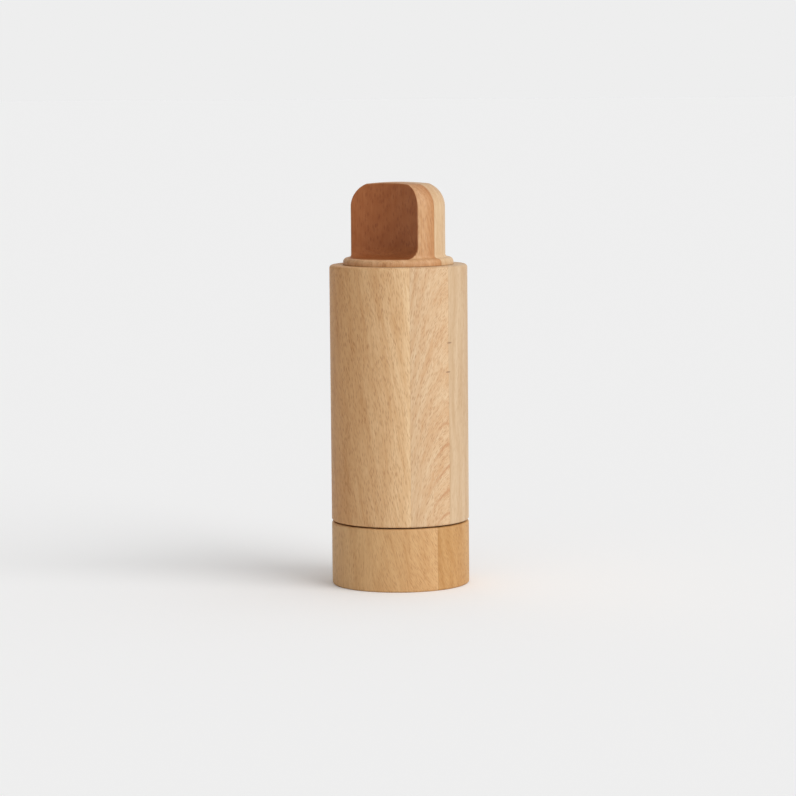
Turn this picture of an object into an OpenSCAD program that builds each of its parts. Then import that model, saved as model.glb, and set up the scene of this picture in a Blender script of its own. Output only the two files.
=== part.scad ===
// Turned beech spice mill. A winged knob turns a square shaft, which turns a ceramic burr low
// in the barrel. The ring it stands on is the grind selector. The origin is at the centre of
// the underside, +Z is up, and the wing of the knob lies along X.

/* [Barrel and base ring] */
// Outside diameter of the barrel and of the base ring
body_d = 58; // [46:0.5:72]
// Height of the base ring
base_h = 26.4; // [21:0.1:34]
// Height of the shadow gap between the base ring and the barrel
gap_h = 0.8; // [0.5:0.1:2]
// Height of the barrel
barrel_h = 107.8; // [80:0.1:150]
// Thickness of the wood between the reservoir and the outside
wall = 9; // [6.5:0.1:10]
// Radius of the barrel's rounded top edge
top_edge_r = 1.4; // [0.5:0.1:2.5]
// Radius of the eased edges at the shadow gap and at the foot
eased_edge_r = 0.9; // [0.3:0.1:1.5]

/* [Knob] */
// Height of the knob above its running gap
knob_h = 34.2; // [28:0.1:45]
// Running gap between the knob's disc and the barrel
knob_gap = 0.3; // [0.2:0.1:0.6]
// How far the disc reaches out past the mouth of the barrel
disc_lip = 3.2; // [2:0.1:4]
// Thickness of the disc
disc_t = 2.7; // [2.2:0.1:4]
// How far the wing's turned ends stand in from the disc's edge
wing_step = 3.4; // [3.2:0.1:5]
// Corner radius between the wing's ends and its top
wing_corner_r = 10.5; // [6:0.5:12]
// Radius of the slightly domed top
dome_r = 120; // [80:5:300]
// Thickness of the wing at its waist
wing_waist = 14.2; // [11.8:0.1:18]
// Radius of the hollow finger scoops, seen from above
scoop_r = 40; // [30:1:60]
// Fillet between each scoop and the disc
scoop_fillet = 5; // [3:0.5:7]
// Length of the spigot that enters the mouth
spigot_len = 12; // [10:0.5:18]
// Thickness of the rubber ring on the spigot
o_ring_t = 2.4; // [1.5:0.1:3]

/* [Shaft] */
// Width of the square shaft across its flats
shaft_side = 5; // [4:0.1:6]
// How far the shaft stands above the barrel
shaft_stick = 9; // [6:0.5:11]

/* [Burrs] */
// Outside diameter of the fixed burr
burr_d = 26; // [24:0.5:32]
// Height of both burrs
burr_h = 13; // [10:0.5:18]
// Radial gap between the burrs at the finest setting
burr_gap = 0.4; // [0.3:0.1:1]
// How far the selector lowers the inner burr between fine and coarse
burr_travel = 1.5; // [0.5:0.1:2]
// Length of the spring, as fitted
spring_h = 10.2; // [8:0.2:16]
// Thickness of the spring's wire
spring_wire = 1.1; // [0.8:0.1:1.4]
// Turns of the spring
spring_turns = 5; // [4:0.5:7]

/* [Grinder housing and selector] */
// Height left clear under the thrust carrier at the coarsest setting
outlet_h = 2.5; // [2.2:0.1:5]
// Wall of the grinder housing
housing_wall = 2; // [1.8:0.1:3]
// Wall of the selector cup beside the housing
cup_wall = 2.44; // [2:0.1:3]
// Width of the land that the screws of the housing and of the cup go through
flange_land = 4.5; // [4.2:0.1:6]
// Thickness of both screw flanges
flange_t = 2.5; // [2:0.1:3.5]
// Width of the thrust carrier's three arms
carrier_arm_w = 5; // [4:0.1:6]

/* [Hidden] */
$fn = 96;

// fits
run = 0.06;                       // radial clearance where one piece turns on another
slip = 0.3;                       // clearance where a piece slides or turns past another
play = 0.1;                       // end play of a piece that turns
cut = 1;                          // how far a cutting shape runs past a face

// wood screws: [radius of the head, radius of the shank, length]
housing_screw = [2.5, 1.3, 13];
cup_screw = [1.7, 0.9, 11];
socket_screw = [1.9, 1, 9];
screw_count = 3;                  // in the housing and in the cup
screw_tip_r = 0.2;
recess_w = 0.5;                   // width of the crossed slots in a screw's head
recess_deep = 1.25;
recess_share = 1.3;               // their length, as a share of the head's radius

// barrel and base ring
body_r = body_d / 2;
mouth_r = body_r - wall;
barrel_z = base_h + gap_h;
barrel_top = barrel_z + barrel_h;

// knob
disc_z = barrel_top + knob_gap;
disc_r = mouth_r + disc_lip;
scoop_z = disc_z + disc_t;
wing_r = disc_r - wing_step;
knob_top = disc_z + knob_h;
disc_edge_r = 1.9;                // rounded edge of the disc
disc_under_r = 0.4;               // eased lower edge of the disc
wing_root_r = 1.4;                // turned hollow between the wing's ends and the disc
spigot_r = mouth_r - 0.4;         // the spigot stands clear: the rubber ring centres it
spigot_z = barrel_top - spigot_len;
o_ring_r = o_ring_t / 2;
o_ring_path_r = mouth_r - run - o_ring_r;
o_ring_z = barrel_top - spigot_len / 2;
o_ring_groove_gap = 0.1;          // above and below the rubber ring

// socket in the knob
shaft_corner_r = shaft_side * sqrt(0.5);
socket_r = shaft_corner_r + 1.25;
socket_flange_r = socket_r + 5.2;
socket_flange_t = 2;
socket_screw_r = socket_r + 2.6;
shaft_top = barrel_top + shaft_stick;
socket_top = shaft_top + 1.5;
shaft_fit = 0.06;                 // clearance on each flat of the shaft

// grinder housing
burr_r = burr_d / 2;
housing_r = burr_r + housing_wall;
feed_r = burr_r - 1.5;            // bore of the housing above the burrs
skirt_z = 2;                      // lower end of the housing

// thrust carrier, pad and burrs, stacked up from the outlet
carrier_t = 4;
carrier_z = skirt_z + outlet_h + burr_travel;
carrier_arms = 3;
carrier_top = carrier_z + carrier_t;
carrier_hub_r = 5;
pad_r = 3;
pad_t = 1.5;
pad_seat = 1;                     // depth of the pad's pocket in the carrier
pad_top = carrier_top - pad_seat + pad_t;
pivot_h = 1.5;
core_flange_t = 2;
core_flange_r = burr_r - 5;
burr_z = pad_top + pivot_h + core_flange_t;
burr_top = burr_z + burr_h;
land_h = 3;                       // height of the burrs' fine lower teeth
land_r = burr_r - 2;              // inner burr at the top of its fine teeth
land_flare = 0.6;
core_hex_r = shaft_corner_r + 1.7;
core_fit = 0.05;
shaft_end = 1;                    // the shaft ends this far above the burrs' lower face
inner_burr_top_r = core_hex_r + 1.4;
outer_burr_top_r = feed_r - 1.5;
tooth_count = 16;
tooth_w = 1.1;
tooth_depth = 0.7;
tooth_cut = 3;                    // depth of the box that cuts a tooth's groove
tooth_turn = 11;                  // degrees that the fixed burr's grooves stand round
retainer_t = 1.2;

// spring, collar and bridge, stacked up from the burrs
washer_t = 0.8;
washer_r = core_hex_r + 1.6;
washer_hole_r = shaft_corner_r + 0.25;
touch = 0.02;                     // between faces that rest on each other
spring_z = burr_top + washer_t + touch;
spring_path_r = core_hex_r + 0.2;
collar_z = spring_z + spring_h + touch;
collar_flange_t = 1.5;
collar_r = shaft_corner_r + 1.4;
collar_flange_r = collar_r + 2;
bridge_z = collar_z + collar_flange_t + play;
bridge_h = 5.6;
bridge_hub_r = collar_r + 1.9;
bridge_arm_w = 3;
bridge_rim_w = 1.5;
bridge_seat_r = feed_r + bridge_rim_w;
housing_top = bridge_z + bridge_h;
clip_z = housing_top + play;
clip_t = 0.8;
clip_groove = 0.7;
clip_w = 2.2;
clip_mouth = 1.1;                 // width of its mouth, as a share of the collar's radius
collar_top = clip_z + clip_t + 1;
spring_sides = 10;
spring_steps = 28;                // rings of the spring's wire in a turn

// selector cup
cup_z = skirt_z + 1.9;
cup_r = housing_r + run + cup_wall;
flange_r = cup_r + flange_land;
thread_r = housing_r + 1;         // the carrier's arms reach into the cup's thread
thread_top = carrier_top + play + 0.9;
cup_flange_z = base_h - flange_t - 0.5;
snap_ring_z = skirt_z + 0.8;
snap_ring_t = cup_z - snap_ring_z - play;
snap_groove = 0.8;
snap_mouth = 4;
housing_screw_r = (housing_r + flange_r) / 2;
cup_screw_r = (cup_r + flange_r) / 2;

// Right half of a turned shape: radius r and height h, with its lower and upper edges rounded.
module turned_profile(r, h, low_r, top_r) {
    intersection() {
        square([r, h]);
        union() {
            polygon([[0, 0], [r - low_r, 0], [r, low_r], [r, h - top_r], [r - top_r, h], [0, h]]);
            if (low_r > 0) translate([r - low_r, low_r]) circle(low_r);
            if (top_r > 0) translate([r - top_r, h - top_r]) circle(top_r);
        }
    }
}

module ring(z, h, outer_r, inner_r) {
    translate([0, 0, z]) difference() {
        cylinder(r = outer_r, h = h);
        translate([0, 0, -cut]) cylinder(r = inner_r, h = h + 2 * cut);
    }
}

module disc(z, h, r) {
    translate([0, 0, z]) cylinder(r = r, h = h);
}

module square_bar(z, h, side) {
    translate([-side / 2, -side / 2, z]) cube([side, side, h]);
}

module around(count, r, turn = 0) {
    for (i = [0 : count - 1])
        rotate(turn + i * 360 / count) translate([r, 0, 0]) children();
}

// Countersunk wood screw. Its head's face is at z = 0 and its shank goes down to -length.
module wood_screw(size) {
    head_r = size[0];
    shank_r = size[1];
    length = size[2];
    head_h = head_r - shank_r;
    translate([0, 0, -head_h]) cylinder(r1 = shank_r, r2 = head_r, h = head_h);
    translate([0, 0, -length + shank_r]) cylinder(r = shank_r, h = length - shank_r - head_h);
    translate([0, 0, -length]) cylinder(r1 = screw_tip_r, r2 = shank_r, h = shank_r);
}

module screw_recess(size) {
    span = size[0] * recess_share;
    for (turn = [0, 90])
        rotate(turn) translate([-span / 2, -recess_w / 2, -recess_deep])
            cube([span, recess_w, recess_deep + cut]);
}

// The screws that hold the housing, point up, in place in the barrel.
module housing_screw_set() {
    around(screw_count, housing_screw_r, 30) translate([0, 0, barrel_z])
        mirror([0, 0, 1]) wood_screw(housing_screw);
}

module cup_screw_set() {
    around(screw_count, cup_screw_r, 60) translate([0, 0, cup_flange_z + flange_t])
        wood_screw(cup_screw);
}

module socket_screw_set() {
    around(2, socket_screw_r) translate([0, 0, spigot_z])
        mirror([0, 0, 1]) wood_screw(socket_screw);
}

module barrel() {
    color("burlywood") difference() {
        translate([0, 0, barrel_z]) rotate_extrude()
            turned_profile(body_r, barrel_h, eased_edge_r, top_edge_r);
        disc(housing_top, barrel_h, mouth_r);
        disc(barrel_z - cut, housing_top - barrel_z + 2 * cut, housing_r);
        disc(barrel_z - cut, flange_t + cut, flange_r);
        housing_screw_set();
    }
}

module base_ring() {
    color("burlywood") difference() {
        rotate_extrude() turned_profile(body_r, base_h, eased_edge_r, eased_edge_r);
        disc(-cut, base_h + 2 * cut, cup_r);
        disc(cup_flange_z, base_h, flange_r);
        cup_screw_set();
    }
}

// Turned outline of the knob: disc, hollow root, straight ends, round corners, domed top.
module knob_profile() {
    wing_h = knob_top - disc_z;
    turned_profile(disc_r, disc_t, disc_under_r, disc_edge_r);
    intersection() {
        turned_profile(wing_r, wing_h, 0, wing_corner_r);
        translate([0, wing_h - dome_r]) circle(dome_r, $fn = 720);
    }
    difference() {
        translate([0, disc_t]) square([wing_r + wing_root_r, wing_root_r]);
        translate([wing_r + wing_root_r, disc_t + wing_root_r]) circle(wing_root_r);
    }
}

// One finger scoop: a wide round cutter with a rounded lower edge, standing on the disc.
module finger_scoop() {
    translate([0, -wing_waist / 2 - scoop_r, scoop_z]) rotate_extrude($fn = 240)
        turned_profile(scoop_r, knob_h, scoop_fillet, 0);
}

module knob() {
    color("peru") difference() {
        union() {
            translate([0, 0, disc_z]) rotate_extrude() knob_profile();
            disc(spigot_z, spigot_len + knob_gap + disc_t, spigot_r);
        }
        finger_scoop();
        mirror([0, 1, 0]) finger_scoop();
        disc(spigot_z - cut, socket_top - spigot_z + cut, socket_r);
        disc(spigot_z - cut, socket_flange_t + cut, socket_flange_r);
        ring(o_ring_z - o_ring_r - o_ring_groove_gap, o_ring_t + 2 * o_ring_groove_gap,
            mouth_r, o_ring_path_r - o_ring_r);
        socket_screw_set();
    }
}

module knob_socket() {
    color("dimgray") difference() {
        union() {
            disc(spigot_z, socket_flange_t, socket_flange_r);
            disc(spigot_z, socket_top - spigot_z, socket_r);
        }
        square_bar(spigot_z - cut, shaft_top - spigot_z + cut, shaft_side + 2 * shaft_fit);
        socket_screw_set();
    }
}

module socket_screws() {
    color("silver") difference() {
        socket_screw_set();
        around(2, socket_screw_r) translate([0, 0, spigot_z])
            mirror([0, 0, 1]) screw_recess(socket_screw);
    }
}

module knob_o_ring() {
    color("whitesmoke") translate([0, 0, o_ring_z]) rotate_extrude()
        translate([o_ring_path_r, 0]) circle(o_ring_r, $fn = 48);
}

module shaft() {
    bottom_z = burr_z + shaft_end;
    color("silver") square_bar(bottom_z, shaft_top - bottom_z, shaft_side);
}

module shaft_collar() {
    color("dimgray") difference() {
        union() {
            disc(collar_z, collar_flange_t, collar_flange_r);
            disc(collar_z, collar_top - collar_z, collar_r);
        }
        square_bar(collar_z - cut, collar_top - collar_z + 2 * cut, shaft_side);
        ring(clip_z, clip_t, collar_r + cut, collar_r - clip_groove);
    }
}

module shaft_clip() {
    color("gray") difference() {
        ring(clip_z, clip_t, collar_r + clip_w - clip_groove, collar_r - clip_groove);
        translate([0, -collar_r * clip_mouth / 2, clip_z - cut])
            cube([collar_r * 3, collar_r * clip_mouth, clip_t + 2 * cut]);
    }
}

// Rings of the spring's wire: each is a small circle across the helix.
function spring_point(i, k) =
    let (turn = i / spring_steps,
         a = 360 * turn,
         b = 360 * k / spring_sides,
         wire_r = spring_wire / 2,
         r = spring_path_r + wire_r * cos(b),
         rise = (spring_h - spring_wire) / spring_turns)
    [r * cos(a), r * sin(a), spring_z + wire_r + rise * turn + wire_r * sin(b)];

module burr_spring() {
    rings = spring_turns * spring_steps;
    n = spring_sides;
    points = [for (i = [0 : rings], k = [0 : n - 1]) spring_point(i, k)];
    sides = [for (i = [0 : rings - 1], k = [0 : n - 1])
        [i * n + k, i * n + (k + 1) % n, (i + 1) * n + (k + 1) % n, (i + 1) * n + k]];
    first = [for (k = [n - 1 : -1 : 0]) k];
    last = [for (k = [0 : n - 1]) rings * n + k];
    color("lightgray") polyhedron(points, concat(sides, [first, last]));
}

module spring_washer() {
    color("silver") ring(burr_top, washer_t, washer_r, washer_hole_r);
}

module burr_core() {
    color("dimgray") difference() {
        union() {
            disc(pad_top, pivot_h, pad_r);
            disc(pad_top + pivot_h, core_flange_t, core_flange_r);
            translate([0, 0, burr_z]) cylinder(r = core_hex_r, h = burr_h, $fn = 6);
        }
        square_bar(burr_z - shaft_end, burr_h + 2 * shaft_end, shaft_side + 2 * shaft_fit);
    }
}

// Turned outline of the inner burr, or of the fixed burr's cavity when grown by the gap.
module burr_profile(grow, top_r) {
    polygon([
        [0, 0], [land_r + land_flare + grow, 0], [land_r + grow, land_h],
        [top_r, burr_h], [0, burr_h]
    ]);
}

module inner_burr() {
    slope = atan((land_r - inner_burr_top_r) / (burr_h - land_h));
    color("white") translate([0, 0, burr_z]) difference() {
        rotate_extrude() burr_profile(0, inner_burr_top_r);
        translate([0, 0, -cut]) cylinder(r = core_hex_r + core_fit, h = burr_h + 2 * cut, $fn = 6);
        around(tooth_count, land_r) translate([0, 0, land_h]) rotate([0, -slope, 0])
            translate([-tooth_depth, -tooth_w / 2, 0]) cube([tooth_cut, tooth_w, 2 * burr_h]);
    }
}

module outer_burr() {
    slope = atan((land_r - outer_burr_top_r) / (burr_h - land_h));
    color("white") translate([0, 0, burr_z]) difference() {
        cylinder(r = burr_r, h = burr_h);
        translate([0, 0, -0.01]) rotate_extrude() burr_profile(burr_gap, outer_burr_top_r);
        translate([0, 0, burr_h - 0.1]) cylinder(r = outer_burr_top_r, h = cut);
        around(tooth_count, land_r + burr_gap, tooth_turn) translate([0, 0, land_h])
            rotate([0, -slope, 0]) translate([-tooth_cut + tooth_depth, -tooth_w / 2, 0])
                cube([tooth_cut, tooth_w, 2 * burr_h]);
    }
}

module burr_retainer() {
    color("gainsboro") ring(burr_z - retainer_t, retainer_t, burr_r, land_r + land_flare + 0.6);
}

module thrust_carrier() {
    color("gainsboro") difference() {
        union() {
            disc(carrier_z, carrier_t, carrier_hub_r);
            intersection() {
                around(carrier_arms, 0) translate([0, -carrier_arm_w / 2, carrier_z])
                    cube([body_r, carrier_arm_w, carrier_t]);
                disc(carrier_z, carrier_t, thread_r - run);
            }
        }
        disc(carrier_top - pad_seat, pad_seat + cut, pad_r);
    }
}

module thrust_pad() {
    color("silver") disc(carrier_top - pad_seat, pad_t - touch, pad_r);
}

module grinder_housing() {
    slot_h = carrier_top + play - skirt_z;
    color("dimgray") difference() {
        union() {
            disc(skirt_z, housing_top - skirt_z, housing_r);
            disc(barrel_z, flange_t, flange_r);
        }
        disc(skirt_z - cut, burr_top - skirt_z + cut, burr_r);
        disc(burr_top - cut, housing_top - burr_top + 2 * cut, feed_r);
        disc(bridge_z, bridge_h + cut, bridge_seat_r);
        around(carrier_arms, 0) translate([0, -carrier_arm_w / 2 - slip / 2, skirt_z - cut])
            cube([body_r, carrier_arm_w + slip, slot_h + cut]);
        ring(snap_ring_z, snap_ring_t, housing_r + cut, housing_r - snap_groove);
        housing_screw_set();
    }
}

module housing_screws() {
    color("silver") difference() {
        housing_screw_set();
        around(screw_count, housing_screw_r, 30) translate([0, 0, barrel_z])
            mirror([0, 0, 1]) screw_recess(housing_screw);
    }
}

module shaft_bridge() {
    color("gainsboro") difference() {
        union() {
            ring(bridge_z, bridge_h, bridge_seat_r, feed_r);
            disc(bridge_z, bridge_h, bridge_hub_r);
            around(3, 0, 90) translate([0, -bridge_arm_w / 2, bridge_z])
                cube([(feed_r + bridge_seat_r) / 2, bridge_arm_w, bridge_h]);
        }
        disc(bridge_z - cut, bridge_h + 2 * cut, collar_r + run);
    }
}

// Open snap ring, sprung into the housing's groove under the selector cup.
module selector_snap_ring() {
    color("silver") difference() {
        ring(snap_ring_z, snap_ring_t, cup_r - slip, housing_r - snap_groove);
        translate([0, -snap_mouth / 2, snap_ring_z - cut])
            cube([body_r, snap_mouth, snap_ring_t + 2 * cut]);
    }
}

module selector_cup() {
    color("gainsboro") difference() {
        union() {
            disc(cup_z, cup_flange_z + flange_t - cup_z, cup_r);
            disc(cup_flange_z, flange_t, flange_r);
        }
        disc(cup_z - cut, base_h, housing_r + run);
        disc(cup_z - cut, thread_top - cup_z + cut, thread_r);
        cup_screw_set();
    }
}

module selector_screws() {
    color("silver") difference() {
        cup_screw_set();
        around(screw_count, cup_screw_r, 60) translate([0, 0, cup_flange_z + flange_t])
            screw_recess(cup_screw);
    }
}

barrel();
grinder_housing();
housing_screws();
outer_burr();
burr_retainer();
shaft_bridge();
selector_snap_ring();
base_ring();
selector_cup();
selector_screws();
thrust_carrier();
thrust_pad();
shaft();
shaft_collar();
shaft_clip();
burr_spring();
burr_core();
inner_burr();
spring_washer();
knob();
knob_socket();
socket_screws();
knob_o_ring();
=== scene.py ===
"""A turned beech spice mill with a winged knob, shown on a pale studio floor."""
import math

import bpy
import numpy as np
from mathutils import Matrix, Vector


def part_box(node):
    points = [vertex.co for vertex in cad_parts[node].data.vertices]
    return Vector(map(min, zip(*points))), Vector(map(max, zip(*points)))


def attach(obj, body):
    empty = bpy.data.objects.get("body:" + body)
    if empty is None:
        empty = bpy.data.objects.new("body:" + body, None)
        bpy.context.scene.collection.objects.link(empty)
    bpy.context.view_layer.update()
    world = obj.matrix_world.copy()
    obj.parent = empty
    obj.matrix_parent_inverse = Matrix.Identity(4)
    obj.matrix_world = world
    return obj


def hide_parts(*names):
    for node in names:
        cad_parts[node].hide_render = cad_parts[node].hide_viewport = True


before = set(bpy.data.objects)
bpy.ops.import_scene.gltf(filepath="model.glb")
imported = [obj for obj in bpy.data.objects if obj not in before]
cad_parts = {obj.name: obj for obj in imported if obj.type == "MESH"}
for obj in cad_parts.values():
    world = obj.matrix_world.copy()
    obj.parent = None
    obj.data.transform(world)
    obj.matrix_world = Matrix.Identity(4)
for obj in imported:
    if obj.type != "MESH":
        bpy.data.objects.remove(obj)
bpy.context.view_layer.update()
MM = 0.001

# ---------------------------------------------------------------------------------------------
# Barrel
# One tube turned from a blank of three beech boards glued side by side, then sanded and oiled.
# The grinder is screwed into its lower end, and the whole spice fills the bore above it.
# ---------------------------------------------------------------------------------------------

BARREL_LOW, BARREL_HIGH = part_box("barrel")
BODY_R = BARREL_HIGH.x
_, HOUSING_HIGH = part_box("grinder_housing")
FLANGE_R = HOUSING_HIGH.x
FLANGE_RECESS = 2.5 * MM
HOUSING_BORE_R = 15.0 * MM
MOUTH_R = BODY_R - 9.0 * MM
TOP_EDGE = 1.4 * MM
FOOT_EDGE = 0.9 * MM
MOUTH_EDGE = 0.5 * MM
INNER_EDGE = 0.3 * MM
TURNED_COLUMNS = 288
SEEN_EASE = 0.12 * MM       # the wood's crisp edges close the shadow gap by this much on each side


def arc(centre_r, centre_z, radius, start, end, count):
    """Points (r, z) on a circle: centre + radius * (cos a, sin a), a even from start to end degrees."""
    a = np.radians(np.linspace(start, end, count))
    return np.column_stack([centre_r + radius * np.cos(a), centre_z + radius * np.sin(a)])


def mesh_piece(name, grid, close_rows=False, crease=32.0):
    """A mesh from a grid of points [row, column, xyz] whose columns run once round the axis.

    Neighbouring grid points make one face. A row that has shrunk to a point becomes one pole vertex.
    The skin is turned outwards by the sign of its volume, the sum of a . (b x c) / 6 over triangles.
    """
    rows, columns = grid.shape[:2]
    index = np.arange(rows * columns).reshape(rows, columns)
    points = grid.reshape(-1, 3)
    for row in () if close_rows else (0, rows - 1):
        index[row] = index[row, 0]
    if close_rows:
        index = np.vstack([index, index[:1]])
    right = np.roll(index, -1, axis=1)
    quads = np.stack([index[:-1], right[:-1], right[1:], index[1:]], axis=-1).reshape(-1, 4)
    a, b, c, d = (points[quads[:, k]] for k in range(4))
    volume = (a * np.cross(b, c)).sum() + (a * np.cross(c, d)).sum()
    if volume < 0:
        quads = quads[:, ::-1]
    pinched_start = quads[:, 0] == quads[:, 1]
    pinched_end = quads[:, 2] == quads[:, 3]
    whole = quads[~(pinched_start | pinched_end)]
    fans = np.vstack([quads[pinched_start][:, [0, 2, 3]], quads[pinched_end][:, [0, 1, 2]]])
    loops = np.concatenate([whole.ravel(), fans.ravel()])
    counts = np.concatenate([np.full(len(whole), 4), np.full(len(fans), 3)])
    used, loops = np.unique(loops, return_inverse=True)
    mesh = bpy.data.meshes.new(name)
    mesh.vertices.add(len(used))
    mesh.vertices.foreach_set("co", points[used].astype(np.float32).ravel())
    mesh.loops.add(len(loops))
    mesh.loops.foreach_set("vertex_index", loops.astype(np.int32).ravel())
    mesh.polygons.add(len(counts))
    starts = np.concatenate([[0], np.cumsum(counts)[:-1]])
    mesh.polygons.foreach_set("loop_start", starts.astype(np.int32))
    mesh.update(calc_edges=True)
    mesh.validate()
    mesh.polygons.foreach_set("use_smooth", np.ones(len(mesh.polygons), bool))
    mesh.set_sharp_from_angle(angle=math.radians(crease))
    piece = bpy.data.objects.new(name, mesh)
    bpy.context.scene.collection.objects.link(piece)
    return piece


def turned(name, profile, close_rows=True):
    """A profile of (r, z) points swept once round Z: each point becomes (r cos a, r sin a, z)."""
    a = np.linspace(0, 2 * math.pi, TURNED_COLUMNS, endpoint=False)
    r, z = profile[:, :1], profile[:, 1:]
    grid = np.stack([r * np.cos(a), r * np.sin(a), z + 0 * a], axis=-1)
    return mesh_piece(name, grid, close_rows)


def wire(tree, kind, inputs=None, out=0, **settings):
    """Adds one shader node with these settings and inputs, values or other outputs; returns an output."""
    made = tree.nodes.new("ShaderNode" + kind)
    for key, value in settings.items():
        setattr(made, key, value)
    for key, value in (inputs or {}).items():
        if isinstance(value, bpy.types.NodeSocket):
            tree.links.new(value, made.inputs[key])
        else:
            made.inputs[key].default_value = value
    return made.outputs[out]


def maths(tree, operation, a, b=0.0, c=0.0, clamp=False):
    """One Math node."""
    return wire(tree, "Math", {0: a, 1: b, 2: c}, operation=operation, use_clamp=clamp)


def span(tree, value, low, high, to_low=0.0, to_high=1.0, smooth=False):
    """Maps value from low..high to to_low..to_high, held at both ends."""
    kind = "SMOOTHSTEP" if smooth else "LINEAR"
    return wire(tree, "MapRange", {0: value, 1: low, 2: high, 3: to_low, 4: to_high}, interpolation_type=kind)


def blend_colours(tree, share, a, b, mode="MIX"):
    """Mixes colour b into a by share."""
    return wire(tree, "Mix", {0: share, 6: a, 7: b}, out=2, data_type="RGBA", blend_type=mode)


def srgb(red, green, blue):
    """A colour given as 0..255 display values, in linear light."""
    c = np.array([red, green, blue]) / 255
    linear = np.where(c <= 0.04045, c / 12.92, ((c + 0.055) / 1.055) ** 2.4)
    return (*linear.tolist(), 1.0)


def principled(name):
    """A new material with an empty tree, its tree, and its Principled shader wired to the output."""
    material = bpy.data.materials.new(name)
    material.use_nodes = True
    tree = material.node_tree
    tree.nodes.clear()
    shader = tree.nodes.new("ShaderNodeBsdfPrincipled")
    output = tree.nodes.new("ShaderNodeOutputMaterial")
    tree.links.new(shader.outputs[0], output.inputs[0])
    return material, tree, shader


BLANK_TURN = -33.0      # the glue lines' normal stands this many degrees round from +X
LEAN_FROM = 80.0        # the height, in mm, that the fibre leans away from
CREST_PITCH = 9.5


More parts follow.
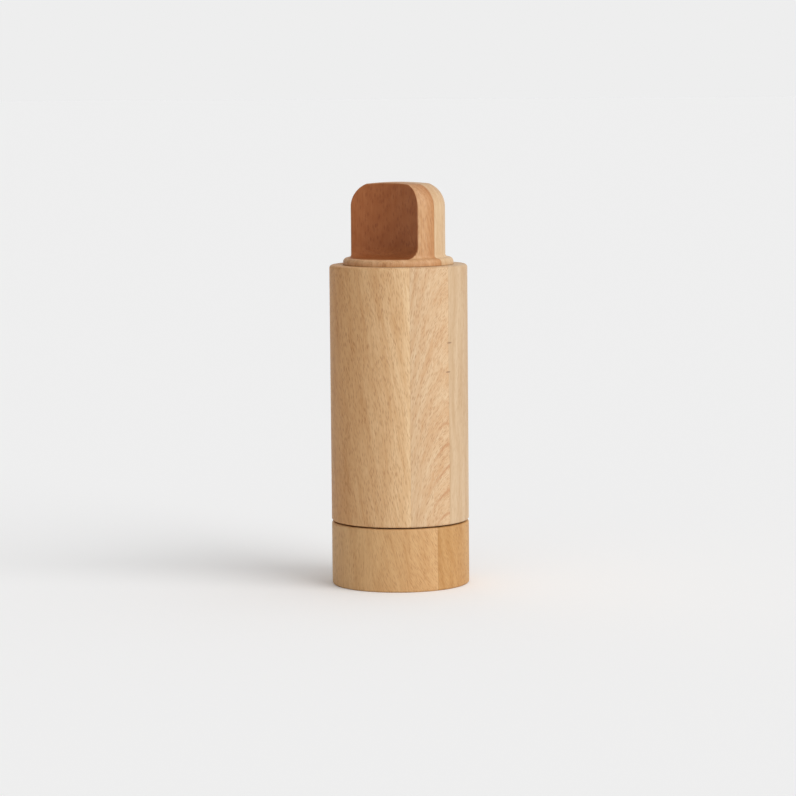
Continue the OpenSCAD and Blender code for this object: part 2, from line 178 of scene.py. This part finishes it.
def oiled_beech(name, boards, seed, turn=BLANK_TURN, marks=(), stain_and_shade=None):
    """Oiled beech cut from glued boards.

    The blank is turned by turn degrees about Z, and "across" is then its X, in mm. Each board gives:
    left, where it starts across the blank; pale and deep, the colours its fibre wanders between;
    ray, the colour of its flecks; lean, how far its fibre leans to the right, in degrees, as a list
    of (from this place across the blank, lean); arch, where its growth rings peak, how fast they
    fall to the sides of that (0 for upright rings) and how far apart they lie; how strongly its
    rings, flecks and glue line show; and maybe a darkening ramp, where across the blank and to what
    colour it darkens: on the knob the board's own deeper tone near its glue line, on the barrel's
    left board painted shade towards the side turned from the key light; and lines, how strongly
    thin crests of the arches show low on the piece.
    marks are small dark bruises at (across, up) on the front. A stain colour, if given, multiplies in by
    the mesh's scoop share: partly oil drunk by end grain, partly painted shade in the hollows.
    """
    material, tree, shader = principled(name)
    place = wire(tree, "TexCoord", out=3)
    blank = wire(tree, "Mapping", {0: place, 2: (0, 0, math.radians(turn)), 3: (1000, 1000, 1000)})
    axes = tree.nodes.new("ShaderNodeSeparateXYZ")
    tree.links.new(blank, axes.inputs[0])
    across, deep_in, up = axes.outputs

    # slow wander of the fibre, so that no figure runs dead straight
    slow = wire(tree, "Mapping", {0: blank, 1: (seed, seed, seed), 3: (0.06, 0.06, 0.02)})
    wander = wire(tree, "TexNoise", {"Vector": slow, "Scale": 1.0, "Detail": 1.0})
    wander = maths(tree, "SUBTRACT", wander, 0.5)
    cloud_at = wire(tree, "Mapping", {0: blank, 1: (0, seed, seed), 3: (0.11, 0.11, 0.035)})
    cloud = wire(tree, "TexNoise", {"Vector": cloud_at, "Scale": 1.0, "Detail": 2.0})

    colour = None
    for number, board in enumerate(boards):
        # lean of the fibre, stepped across the board
        wandering = maths(tree, "MULTIPLY_ADD", wander, 5.0, across)
        slope = math.tan(math.radians(board["lean"][0][1]))
        for (_, before), (start, lean) in zip(board["lean"], board["lean"][1:]):
            past = maths(tree, "GREATER_THAN", across, start)
            change = math.tan(math.radians(lean)) - math.tan(math.radians(before))
            slope = maths(tree, "MULTIPLY_ADD", past, change, slope)
        upright = maths(tree, "MULTIPLY", slope, maths(tree, "SUBTRACT", LEAN_FROM, up))
        fibre = wire(tree, "CombineXYZ", {0: maths(tree, "ADD", upright, wandering), 1: deep_in, 2: up})

        # fine fibre streaks and broader tone bands, both drawn out along the fibre
        streak_at = wire(tree, "Mapping", {0: fibre, 1: (seed, 2 * seed, number), 3: (2.5, 2.5, 0.13)})
        streak = wire(tree, "TexNoise", {"Vector": streak_at, "Scale": 1.0, "Detail": 3.0, "Roughness": 0.6})
        band_at = wire(tree, "Mapping", {0: fibre, 1: (2 * seed, seed, number), 3: (0.55, 0.25, 0.014)})
        band = wire(tree, "TexNoise", {"Vector": band_at, "Scale": 1.0, "Detail": 2.0, "Roughness": 0.55})

        # ray flecks: cell centres of a cell pattern that is drawn out along the fibre
        ray = 0.0
        for shift, strength in ((0.0, 1.0), (31.7, 0.75)):
            fleck_at = (seed * 3 + number * 7 + shift, shift, shift)
            fleck_at = wire(tree, "Mapping", {0: fibre, 1: fleck_at, 3: (2.15, 0.6, 0.28)})
            fleck = wire(tree, "TexVoronoi", {"Vector": fleck_at, "Scale": 1.0, "Randomness": 1.0})
            ray = maths(tree, "MAXIMUM", ray, span(tree, fleck, 0.12, 0.38, strength, 0.0, smooth=True))
        ray = maths(tree, "MULTIPLY", ray, span(tree, cloud, 0.3, 0.62, 0.65, 1.0))
        ray = maths(tree, "MULTIPLY", ray, board["fleck"])

        # growth rings: arches z + fall * (x - peak)^2 = constant, or upright bands
        peak, fall, pitch = board["arch"]
        offset = maths(tree, "SUBTRACT", wandering, peak)
        square = maths(tree, "MULTIPLY", offset, offset)
        rise = maths(tree, "MULTIPLY_ADD", square, fall, up) if fall else wandering
        ring = maths(tree, "MULTIPLY_ADD", wander, 1.2, maths(tree, "DIVIDE", rise, pitch))
        ring = maths(tree, "SINE", maths(tree, "MULTIPLY", ring, 2 * math.pi))
        ring = maths(tree, "MULTIPLY", ring, board["ring"])

        tone = maths(tree, "MULTIPLY_ADD", maths(tree, "SUBTRACT", band, 0.5), 1.2, 0.5)
        tone = maths(tree, "ADD", tone, ring)
        tone = maths(tree, "MULTIPLY_ADD", maths(tree, "SUBTRACT", streak, 0.5), 1.5, tone)
        tone = maths(tree, "MULTIPLY_ADD", maths(tree, "SUBTRACT", cloud, 0.5), 0.5, tone, clamp=True)
        wood = blend_colours(tree, tone, board["pale"], board["deep"])
        if "lines" in board:
            # thin red-brown crests of the same arches, near their peak and low on the piece
            crest = maths(tree, "MULTIPLY_ADD", wander, 1.2, maths(tree, "DIVIDE", rise, CREST_PITCH))
            crest = maths(tree, "SINE", maths(tree, "MULTIPLY", crest, 2 * math.pi))
            crest = maths(tree, "POWER", maths(tree, "MAXIMUM", crest, 0.0), 9.0)
            near_peak = span(tree, maths(tree, "ABSOLUTE", offset), 1.5, 7.0, 1.0, 0.0)
            crest = maths(tree, "MULTIPLY", crest, near_peak)
            crest = maths(tree, "MULTIPLY", crest, span(tree, up, 62.0, 88.0, board["lines"], 0.0))
            wood = blend_colours(tree, crest, wood, srgb(178, 116, 70))
        # a darker colour multiplied in along a ramp across the blank: the knob's front board's own deeper
        # tone near its glue line, and painted shade on the barrel's left board towards the side turned from
        # the key light
        if "tone_and_painted_shade" in board:
            near_side, far_side, shade = board["tone_and_painted_shade"]
            wood = blend_colours(tree, span(tree, across, near_side, far_side), wood, shade, "MULTIPLY")
        wood = blend_colours(tree, ray, wood, board["ray"])
        if colour is None:
            colour = wood
            continue
        here = maths(tree, "MULTIPLY_ADD", wander, 0.7, across)
        edge = span(tree, here, board["left"] - 0.06, board["left"] + 0.06)
        colour = blend_colours(tree, edge, colour, wood)
        # the glue line itself: a hair of darker wood
        near = maths(tree, "ABSOLUTE", maths(tree, "SUBTRACT", here, board["left"]))
        line = span(tree, near, 0.0, 0.22, board["glue"], 0.0)
        colour = blend_colours(tree, line, colour, board["ray"])
    for mark_across, mark_up in marks:
        wide = maths(tree, "DIVIDE", maths(tree, "SUBTRACT", across, mark_across), 0.9)
        tall = maths(tree, "DIVIDE", maths(tree, "SUBTRACT", up, mark_up), 0.32)
        reach = maths(tree, "MULTIPLY_ADD", wide, wide, maths(tree, "MULTIPLY", tall, tall))
        in_front = maths(tree, "LESS_THAN", deep_in, 0.0)
        mark = maths(tree, "MULTIPLY", span(tree, reach, 0.3, 1.6, 0.6, 0.0), in_front)
        colour = blend_colours(tree, mark, colour, srgb(112, 70, 40))
    # the stain colour multiplies in by the mesh's scoop share: partly oil drunk by end grain, partly painted
    # shade in the knob's hollows and on their floor
    if stain_and_shade:
        oil_and_shade_share = wire(tree, "Attribute", out=2, attribute_name="scoop_oil_and_shade")
        colour = blend_colours(tree, oil_and_shade_share, colour, stain_and_shade, "MULTIPLY")
    tree.links.new(colour, shader.inputs["Base Color"])

    # satin oil: slightly duller in the soft bands, with the grain standing about 0.01 mm proud.
    # Gloss and relief take the last board's fibre over the whole piece
    gloss = span(tree, streak, 0.3, 0.7, 0.46, 0.6)
    tree.links.new(gloss, shader.inputs["Roughness"])
    shader.inputs["Specular IOR Level"].default_value = 0.3
    grain = maths(tree, "MULTIPLY_ADD", ray, -0.6, streak)
    bump = wire(tree, "Bump", {"Strength": 0.3, "Distance": 0.00004, "Height": grain})
    tree.links.new(bump, shader.inputs["Normal"])
    return material


barrel_profile = np.vstack([
    arc(BODY_R - FOOT_EDGE, BARREL_LOW.z + FOOT_EDGE - SEEN_EASE, FOOT_EDGE, -90, 0, 9),
    arc(BODY_R - TOP_EDGE, BARREL_HIGH.z - TOP_EDGE, TOP_EDGE, 0, 90, 13),
    arc(MOUTH_R + MOUTH_EDGE, BARREL_HIGH.z - MOUTH_EDGE, MOUTH_EDGE, 90, 180, 6),
    [(MOUTH_R, HOUSING_HIGH.z)],
    [(HOUSING_BORE_R, HOUSING_HIGH.z)],
    [(HOUSING_BORE_R, BARREL_LOW.z + FLANGE_RECESS)],
    [(FLANGE_R, BARREL_LOW.z + FLANGE_RECESS)],
    arc(FLANGE_R + INNER_EDGE, BARREL_LOW.z + INNER_EDGE - SEEN_EASE, INNER_EDGE, 180, 270, 4),
])
barrel = turned("barrel_wood", barrel_profile)
barrel.data.materials.append(oiled_beech("oiled_beech_barrel", [
    {"left": -99, "pale": srgb(232, 201, 159), "deep": srgb(208, 165, 117), "ray": srgb(156, 102, 57),
     "lean": [(-99, -8), (-8, -10)], "arch": (-40, 0, 9.5), "ring": 0.08, "fleck": 0.64, "glue": 0.0,
     # painted shade: this ramp darkens and reddens the left board towards the side turned from the key light
     "tone_and_painted_shade": (4.6, -24.0, srgb(232, 210, 184))},
    {"left": 4.6, "pale": srgb(217, 188, 151), "deep": srgb(202, 160, 118), "ray": srgb(158, 104, 61),
     "lean": [(-99, 10), (9, 18), (14, 28), (18, 38)], "arch": (19.2, 0.187, 17), "ring": 0.16,
     "fleck": 0.64, "glue": 0.2, "lines": 0.5},
    {"left": 20.6, "pale": srgb(209, 182, 148), "deep": srgb(193, 159, 121), "ray": srgb(166, 122, 84),
     "lean": [(-99, 2)], "arch": (40, 0, 4.4), "ring": 0.2, "fleck": 0.3, "glue": 0.2},
], 3.1, marks=[(20.9, 103.3), (20.3, 91.2)]))
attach(barrel, "barrel")
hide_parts("barrel")

# ---------------------------------------------------------------------------------------------
# Base ring
# A short beech ring turned with the barrel from another blank of two boards. It is the grind
# selector: the selector cup is screwed up inside it, and it turns below the thin shadow gap.
# ---------------------------------------------------------------------------------------------

_, RING_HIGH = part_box("base_ring")
_, CUP_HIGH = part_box("selector_cup")
CUP_FLANGE_Z = CUP_HIGH.z - FLANGE_RECESS
RING_BORE_R = 17.5 * MM
BORE_EDGE = 0.5 * MM

ring_profile = np.vstack([
    arc(BODY_R - FOOT_EDGE, FOOT_EDGE, FOOT_EDGE, -90, 0, 9),
    arc(BODY_R - FOOT_EDGE, RING_HIGH.z - FOOT_EDGE + SEEN_EASE, FOOT_EDGE, 0, 90, 9),
    arc(CUP_HIGH.x + INNER_EDGE, RING_HIGH.z - INNER_EDGE + SEEN_EASE, INNER_EDGE, 90, 180, 4),
    [(CUP_HIGH.x, CUP_FLANGE_Z)],
    [(RING_BORE_R, CUP_FLANGE_Z)],
    arc(RING_BORE_R + BORE_EDGE, BORE_EDGE, BORE_EDGE, 180, 270, 6),
])
base_ring = turned("base_ring_wood", ring_profile)
base_ring.data.materials.append(oiled_beech("oiled_beech_base", [
    {"left": -99, "pale": srgb(213, 172, 122), "deep": srgb(194, 147, 96), "ray": srgb(154, 101, 55),
     "lean": [(-99, -4), (-12, -16), (4, -26)], "arch": (-20, 0, 9), "ring": 0.08,
     "fleck": 0.52, "glue": 0.0},
    {"left": 15.6, "pale": srgb(199, 155, 101), "deep": srgb(180, 131, 76), "ray": srgb(150, 98, 52),
     "lean": [(-99, -14)], "arch": (30, 0, 4.2), "ring": 0.16, "fleck": 0.5, "glue": 0.3},
], 11.7))
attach(base_ring, "selector")
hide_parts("base_ring")

# ---------------------------------------------------------------------------------------------
# Knob
# Turned from two beech boards as a disc with a round-topped end, then hollowed on two sides by a
# wide round cutter, which leaves the wing. The cut faces are nearer to end grain and drink more oil,
# and their darker colour also holds painted shade for the shadow in the hollows and on their floor.
# ---------------------------------------------------------------------------------------------

KNOB_LOW, KNOB_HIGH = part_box("knob")
DISC_R = KNOB_HIGH.x
DISC_Z = BARREL_HIGH.z + 0.08 * MM      # the disc's underside, closer to the barrel than in the CAD
FLOOR_Z = BARREL_HIGH.z + 3.0 * MM      # the disc's upper face, the floor of the scoops
DISC_EDGE = 1.9 * MM
WING_R = DISC_R - 3.4 * MM
WING_CORNER = 10.5 * MM
WING_ROOT = 1.4 * MM
DOME_R = 120 * MM
WAIST = 14.2 * MM
SCOOP_R = 40 * MM
SCOOP_FILLET = 5 * MM
SCOOP_CENTRE = WAIST / 2 + SCOOP_R
EDGE_EASE = 0.75 * MM
SPIGOT_R = MOUTH_R - 0.4 * MM
SPIGOT_EDGE = 0.4 * MM
_, SOCKET_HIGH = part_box("knob_socket")
SOCKET_R = 4.785 * MM
SOCKET_FLANGE_Z = KNOB_LOW.z + 2 * MM
O_RING_LOW, O_RING_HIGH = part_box("knob_o_ring")
GROOVE_R = O_RING_HIGH.x - 2.4 * MM
GROOVE_PLAY = 0.1 * MM
DISC_UNDER_EDGE = 0.12 * MM
END_COLUMNS, EASE_COLUMNS, SCOOP_COLUMNS = 22, 9, 30
WALL_ROWS = 13
TOP_GRAIN = 0.22        # how much of the scoops' darkening the round top takes, for its end grain only


def wing_outline(end_r, cut_r):
    """One quarter of the wing seen from above, for arrays of end radius and scoop radius (one a row).

    An arc of radius end_r about the axis, an easing arc of radius EDGE_EASE that touches it inside
    and the scoop outside, and the scoop's arc of radius cut_r, out to the middle of the waist.
    """
    end_r, cut_r = end_r[:, None], cut_r[:, None]
    inner = end_r - EDGE_EASE
    sine = (inner ** 2 + SCOOP_CENTRE ** 2 - (cut_r + EDGE_EASE) ** 2) / (2 * SCOOP_CENTRE * inner)
    turn = np.arcsin(np.clip(sine, -1, 1))
    ease_x, ease_y = inner * np.cos(turn), inner * np.sin(turn)
    u = np.linspace(0, 1, END_COLUMNS)
    end = np.stack([end_r * np.cos(turn * u), end_r * np.sin(turn * u)], -1)
    toward_scoop = np.arctan2(SCOOP_CENTRE - ease_y, -ease_x)
    u = np.linspace(0, 1, EASE_COLUMNS + 1)[1:]
    a = turn + (toward_scoop - turn) * u
    ease = np.stack([ease_x + EDGE_EASE * np.cos(a), ease_y + EDGE_EASE * np.sin(a)], -1)
    start = np.arctan2(ease_x, SCOOP_CENTRE - ease_y)
    u = np.linspace(1, 0, SCOOP_COLUMNS + 1)[1:]
    scoop = np.stack([cut_r * np.sin(start * u), SCOOP_CENTRE - cut_r * np.cos(start * u)], -1)
    return np.concatenate([end, ease, scoop], axis=1)


def all_round(quarter):
    """A quarter outline mirrored to all four quarters, once round the axis."""
    half = np.concatenate([quarter, (quarter * [-1, 1])[:, -2::-1]], axis=1)
    return np.concatenate([half, (half * [1, -1])[:, -2:0:-1]], axis=1)


def top_height(r):
    """Height of the knob's turned top at radius r: the dome, and the round corner at its edge."""
    dome = KNOB_HIGH.z - DOME_R + np.sqrt(DOME_R ** 2 - r ** 2)
    past = np.clip(r - (WING_R - WING_CORNER), 0, WING_CORNER)
    corner = KNOB_HIGH.z - WING_CORNER + np.sqrt(WING_CORNER ** 2 - past ** 2)
    return np.where(r > WING_R - WING_CORNER, np.minimum(dome, corner), dome)


def knob_grid():
    """The knob's skin as rows of points, from the bore's blind end, round the spigot and the disc,
    up the wing's walls, over its eased edge and in along the dome to the middle of the top."""
    lift = SCOOP_FILLET * (1 - np.cos(np.linspace(0, math.pi / 2, 18)))
    root = np.clip(WING_ROOT - lift, 0, WING_ROOT)
    end_r = WING_R + WING_ROOT - np.sqrt(WING_ROOT ** 2 - root ** 2)
    cut_r = SCOOP_R - SCOOP_FILLET + np.sqrt(SCOOP_FILLET ** 2 - (SCOOP_FILLET - lift) ** 2)
    hollow = all_round(wing_outline(end_r, cut_r))
    hollow_z = np.broadcast_to((FLOOR_Z + lift)[:, None, None], hollow.shape[:2] + (1,))
    hollow = np.concatenate([hollow, hollow_z], -1)

    wall = hollow[-1, :, :2]
    wall_r = np.linalg.norm(wall, axis=1)
    heading = wall / wall_r[:, None]
    wall_top = top_height(wall_r)
    u = np.linspace(0, 1, WALL_ROWS + 1)[1:, None]
    wall_z = hollow[-1, :, 2] + u * (wall_top - EDGE_EASE - hollow[-1, :, 2])
    walls = np.concatenate([np.broadcast_to(wall, (WALL_ROWS,) + wall.shape), wall_z[..., None]], -1)

    # along the turned profile: its length from the middle, tabulated, gives even steps inwards
    table_r = WING_R * np.sin(np.linspace(0, math.pi / 2, 1500))
    table_z = top_height(table_r)
    length = np.concatenate([[0], np.cumsum(np.hypot(np.diff(table_r), np.diff(table_z)))])
    start = np.interp(wall_r, table_r, length)

    def on_top(distance):
        r = np.interp(distance, length, table_r)
        return np.stack([r * heading[:, 0], r * heading[:, 1], top_height(r)], -1)

    below = np.column_stack([wall, wall_top - EDGE_EASE])
    corner = np.column_stack([wall, wall_top])
    beyond = on_top(start - EDGE_EASE)
    u = np.linspace(0, 1, 9)[1:, None, None]
    eased = (1 - u) ** 2 * below + 2 * u * (1 - u) * corner + u ** 2 * beyond
    top = np.stack([on_top((start - EDGE_EASE) * (1 - s)) for s in np.linspace(0, 1, 22)[1:]])

    groove_low = O_RING_LOW.z - GROOVE_PLAY
    groove_high = O_RING_HIGH.z + GROOVE_PLAY
    turned_part = np.vstack([
        [(0, SOCKET_HIGH.z), (SOCKET_R, SOCKET_HIGH.z), (SOCKET_R, SOCKET_FLANGE_Z)],
        [(SOCKET_HIGH.x, SOCKET_FLANGE_Z), (SOCKET_HIGH.x, KNOB_LOW.z)],
        arc(SPIGOT_R - SPIGOT_EDGE, KNOB_LOW.z + SPIGOT_EDGE, SPIGOT_EDGE, -90, 0, 5),
        [(SPIGOT_R, groove_low), (GROOVE_R, groove_low)],
        [(GROOVE_R, groove_high), (SPIGOT_R, groove_high)],
        [(SPIGOT_R, DISC_Z)],
        arc(DISC_R - DISC_UNDER_EDGE, DISC_Z + DISC_UNDER_EDGE, DISC_UNDER_EDGE, -90, 0, 5),
        arc(DISC_R - DISC_EDGE, FLOOR_Z - DISC_EDGE, DISC_EDGE, 0, 90, 13),
    ])
    first = hollow[0, :, :2]
    around = first / np.linalg.norm(first, axis=1)[:, None]
    r, z = turned_part[:, 0, None, None], turned_part[:, 1, None, None]
    disc = np.concatenate([r * around, np.broadcast_to(z, (len(turned_part), len(around), 1))], -1)
    return np.concatenate([disc, hollow, walls, eased, top])


knob = mesh_piece("knob_wood", knob_grid())

# how far each point lies in a scoop: 1 on the hollow faces and their floor, fading over the eased
# edges. This share darkens the colour: partly oil drunk by the end grain, partly painted shade for
# the shadow that falls in the hollows and on their floor. The round top, which is end grain too,
# takes a little of the same darkening, for its grain only.
spots = np.zeros(len(knob.data.vertices) * 3, np.float32)
knob.data.vertices.foreach_get("co", spots)
spots = spots.reshape(-1, 3)
lift = np.clip(spots[:, 2] - FLOOR_Z, 0, SCOOP_FILLET)
cutter_r = SCOOP_R - SCOOP_FILLET + np.sqrt(SCOOP_FILLET ** 2 - (SCOOP_FILLET - lift) ** 2)
to_cutter = np.hypot(spots[:, 0], SCOOP_CENTRE - np.abs(spots[:, 1])) - cutter_r
above_floor = np.clip((spots[:, 2] - FLOOR_Z) / (0.12 * MM) + 1, 0, 1)
in_scoop = np.clip(1 - to_cutter / (0.5 * MM), 0, 1) * above_floor
facing = np.zeros(len(spots) * 3, np.float32)
knob.data.vertices.foreach_get("normal", facing)
upward = np.clip(facing.reshape(-1, 3)[:, 2] / 0.7, 0, 1)
on_top_grain = TOP_GRAIN * upward * (spots[:, 2] > FLOOR_Z + WING_CORNER)
in_scoop = np.maximum(in_scoop, on_top_grain)
tint = knob.data.attributes.new("scoop_oil_and_shade", "FLOAT", "POINT")
tint.data.foreach_set("value", in_scoop.astype(np.float32))

knob.data.materials.append(oiled_beech("oiled_beech_knob", [
    {"left": -99, "pale": srgb(213, 171, 129), "deep": srgb(193, 143, 96), "ray": srgb(150, 98, 60),
     "lean": [(-99, 2), (-6.5, -5)], "arch": (-14, 0.3, 9), "ring": 0.14, "fleck": 0.5, "glue": 0.0,
     "tone_and_painted_shade": (-8.5, -3.5, srgb(236, 219, 198))},
    {"left": -2.5, "pale": srgb(217, 188, 150), "deep": srgb(201, 165, 124), "ray": srgb(164, 119, 79),
     "lean": [(-99, -3)], "arch": (20, 0, 5.0), "ring": 0.12, "fleck": 0.3, "glue": 0.45},
], 5.3, turn=-90.0, stain_and_shade=srgb(197, 151, 117)))
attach(knob, "knob")
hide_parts("knob")

# ---------------------------------------------------------------------------------------------
# Grinder housing, shaft collar, burr core and knob socket
# Dark glass-filled nylon mouldings. The housing is screwed up into the barrel, and the others
# carry the square shaft. The skin is matt, with a faint moulded mottle.
# ---------------------------------------------------------------------------------------------


def moulded_nylon(name, body, fleck, roughness, grain_mm):
    """Moulded plastic: the body colour clouded by the fleck colour, and a fine spark-eroded skin."""
    material, tree, shader = principled(name)
    place = wire(tree, "TexCoord", out=3)
    cloud = wire(tree, "TexNoise", {"Vector": place, "Scale": 260.0, "Detail": 3.0})
    colour = blend_colours(tree, span(tree, cloud, 0.35, 0.75), body, fleck)
    tree.links.new(colour, shader.inputs["Base Color"])
    skin_noise = wire(tree, "TexNoise", {"Vector": place, "Scale": 1000 / grain_mm, "Detail": 2.0})
    gloss = span(tree, skin_noise, 0.3, 0.7, roughness - 0.06, roughness + 0.08)
    tree.links.new(gloss, shader.inputs["Roughness"])
    bump = wire(tree, "Bump", {"Strength": 0.4, "Distance": 0.00003, "Height": skin_noise})
    tree.links.new(bump, shader.inputs["Normal"])
    return material


def finish_nodes(names, material):
    """Gives carried-over nodes their material in every slot."""
    for name in names:
        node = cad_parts[name]
        node.data.materials.clear()
        node.data.materials.append(material)


dark_nylon = moulded_nylon("dark_nylon_skin", srgb(46, 46, 48), srgb(60, 60, 61), 0.5, 0.35)
finish_nodes(["grinder_housing", "shaft_collar", "burr_core", "knob_socket"], dark_nylon)

# ---------------------------------------------------------------------------------------------
# Selector cup, shaft bridge, burr retainer and thrust carrier
# Pale acetal mouldings, slightly waxy, so that they run against the nylon without grease.
# ---------------------------------------------------------------------------------------------

pale_nylon = moulded_nylon("pale_nylon_skin", srgb(224, 223, 217), srgb(212, 210, 202), 0.38, 0.5)
finish_nodes(["selector_cup", "shaft_bridge", "burr_retainer", "thrust_carrier"], pale_nylon)

# ---------------------------------------------------------------------------------------------
# Burrs
# The two halves of a fired ceramic grinder: a toothed cone that turns inside a toothed ring.
# Off-white, with a few iron specks and a thin fired gloss worn dull on the tooth crests.
# ---------------------------------------------------------------------------------------------


def fired_ceramic(name):
    """Off-white body with fine dark specks, a cell pattern's centres, and an uneven fired gloss."""
    material, tree, shader = principled(name)
    place = wire(tree, "TexCoord", out=3)
    speck = wire(tree, "TexVoronoi", {"Vector": place, "Scale": 900.0})
    rare = wire(tree, "TexNoise", {"Vector": place, "Scale": 600.0, "Detail": 0.0})
    speck_centre = span(tree, speck, 0.08, 0.18, 1.0, 0.0)
    spots_here = maths(tree, "MULTIPLY", speck_centre, span(tree, rare, 0.56, 0.62))
    cloud = wire(tree, "TexNoise", {"Vector": place, "Scale": 180.0, "Detail": 2.0})
    body = blend_colours(tree, cloud, srgb(238, 234, 225), srgb(226, 220, 208))
    tree.links.new(blend_colours(tree, spots_here, body, srgb(150, 132, 110)), shader.inputs["Base Color"])
    tree.links.new(span(tree, cloud, 0.3, 0.7, 0.22, 0.4), shader.inputs["Roughness"])
    bump = wire(tree, "Bump", {"Strength": 0.3, "Distance": 0.00002, "Height": rare})
    tree.links.new(bump, shader.inputs["Normal"])
    return material


finish_nodes(["outer_burr", "inner_burr"], fired_ceramic("fired_ceramic_body"))

# ---------------------------------------------------------------------------------------------
# Shaft, spring, washer, clips, thrust pad and screws
# Stainless steel: drawn bar, wire and pressings, all with fine draw lines along the stock.
# ---------------------------------------------------------------------------------------------


def drawn_steel(name, lines, roughness):
    """Stainless steel with fine lines stretched along Z by the factor lines, seen in gloss and tone."""
    material, tree, shader = principled(name)
    place = wire(tree, "TexCoord", out=3)
    stretched = wire(tree, "Mapping", {0: place, 3: (lines, lines, 1.0)})
    line = wire(tree, "TexNoise", {"Vector": stretched, "Scale": 220.0, "Detail": 4.0, "Roughness": 0.7})
    colour = blend_colours(tree, line, srgb(196, 196, 198), srgb(168, 168, 172))
    tree.links.new(colour, shader.inputs["Base Color"])
    shader.inputs["Metallic"].default_value = 1.0
    tree.links.new(span(tree, line, 0.3, 0.7, roughness - 0.07, roughness + 0.08), shader.inputs["Roughness"])
    bump = wire(tree, "Bump", {"Strength": 0.2, "Distance": 0.00001, "Height": line})
    tree.links.new(bump, shader.inputs["Normal"])
    return material


finish_nodes(["shaft"], drawn_steel("drawn_steel_bar", 12.0, 0.3))
finish_nodes([
    "housing_screws", "selector_screws", "socket_screws", "selector_snap_ring", "shaft_clip",
    "spring_washer", "thrust_pad", "burr_spring",
], drawn_steel("rolled_steel", 3.0, 0.26))

# ---------------------------------------------------------------------------------------------
# Rubber ring on the knob's spigot
# A translucent silicone O-ring. It grips the mouth lightly and keeps the spice dry.
# ---------------------------------------------------------------------------------------------

ring_material, tree, shader = principled("silicone_rubber")
place = wire(tree, "TexCoord", out=3)
haze = wire(tree, "TexNoise", {"Vector": place, "Scale": 320.0, "Detail": 2.0})
milky = blend_colours(tree, haze, srgb(228, 228, 224), srgb(212, 212, 207))
tree.links.new(milky, shader.inputs["Base Color"])
tree.links.new(span(tree, haze, 0.3, 0.7, 0.42, 0.58), shader.inputs["Roughness"])
shader.inputs["Subsurface Weight"].default_value = 0.4
shader.inputs["Subsurface Scale"].default_value = 0.001
finish_nodes(["knob_o_ring"], ring_material)

# ---------------------------------------------------------------------------------------------
# Studio: floor, light and camera
# A seamless pale floor under an even white room, and one soft light from the right.
# ---------------------------------------------------------------------------------------------

FLOOR_HALF = 40.0
PAPER = 0.96
BACKDROP = 0.855        # brightness of the room as the camera sees it
ROOM = 0.745            # brightness of the room as it lights the mill
FLAG_SHADE = 0.62       # share of the room's light that a dark flag on the left takes away
FLAG_FROM = (-0.839, -0.545, 0.0)

floor_mesh = bpy.data.meshes.new("floor")
floor_mesh.from_pydata(
    [(-FLOOR_HALF, -FLOOR_HALF, 0), (FLOOR_HALF, -FLOOR_HALF, 0), (FLOOR_HALF, FLOOR_HALF, 0),
     (-FLOOR_HALF, FLOOR_HALF, 0)],
    [], [(0, 1, 2, 3)])
floor = bpy.data.objects.new("floor", floor_mesh)
bpy.context.scene.collection.objects.link(floor)
paper, tree, shader = principled("studio_paper")
shader.inputs["Base Color"].default_value = (PAPER, PAPER, PAPER, 1)
shader.inputs["Roughness"].default_value = 0.95
shader.inputs["Specular IOR Level"].default_value = 0.0
floor_mesh.materials.append(paper)

world = bpy.data.worlds.new("studio_room")
world.use_nodes = True
tree = world.node_tree
seen = wire(tree, "LightPath", out=0)
heading = wire(tree, "TexCoord", out=3)
toward_flag = wire(tree, "VectorMath", {0: heading, 1: FLAG_FROM}, out=1, operation="DOT_PRODUCT")
flagged = span(tree, toward_flag, 0.1, 0.85, ROOM, ROOM * (1 - FLAG_SHADE), smooth=True)
level = wire(tree, "Mix", {0: seen, 2: flagged, 3: BACKDROP})
tree.links.new(level, tree.nodes["Background"].inputs[1])
tree.nodes["Background"].inputs[0].default_value = (1, 1, 1, 1)
bpy.context.scene.world = world

KEY_TURN = math.radians(-5)
KEY_HEIGHT = math.radians(31.5)
KEY_SPREAD = math.radians(48)
KEY_STRENGTH = 1.5

key_data = bpy.data.lights.new("key", "SUN")
key_data.energy = KEY_STRENGTH
key_data.angle = KEY_SPREAD
key = bpy.data.objects.new("key", key_data)
key_level = math.cos(KEY_HEIGHT)
key_from = Vector((key_level * math.cos(KEY_TURN), key_level * math.sin(KEY_TURN), math.sin(KEY_HEIGHT)))
key.rotation_mode = "QUATERNION"
key.rotation_quaternion = key_from.to_track_quat("Z", "Y")
bpy.context.scene.collection.objects.link(key)

VIEW_TURN = math.radians(33)        # the camera stands this far round from -Y towards +X
DISTANCE = 1.3
HEIGHT = 0.2096
DOWN = 0.10056
SWING = 0.0004
ROLL = 0.0085
LENS = 140.0

camera_data = bpy.data.cameras.new("camera")
camera_data.lens = LENS
camera_data.sensor_width = 36
camera_data.clip_end = 200
camera = bpy.data.objects.new("camera", camera_data)
camera.location = (DISTANCE * math.sin(VIEW_TURN), -DISTANCE * math.cos(VIEW_TURN), HEIGHT)
camera.rotation_euler = (math.pi / 2 - DOWN, ROLL, VIEW_TURN - SWING)
bpy.context.scene.collection.objects.link(camera)
bpy.context.scene.camera = camera
bpy.context.scene.view_settings.view_transform = "Standard"
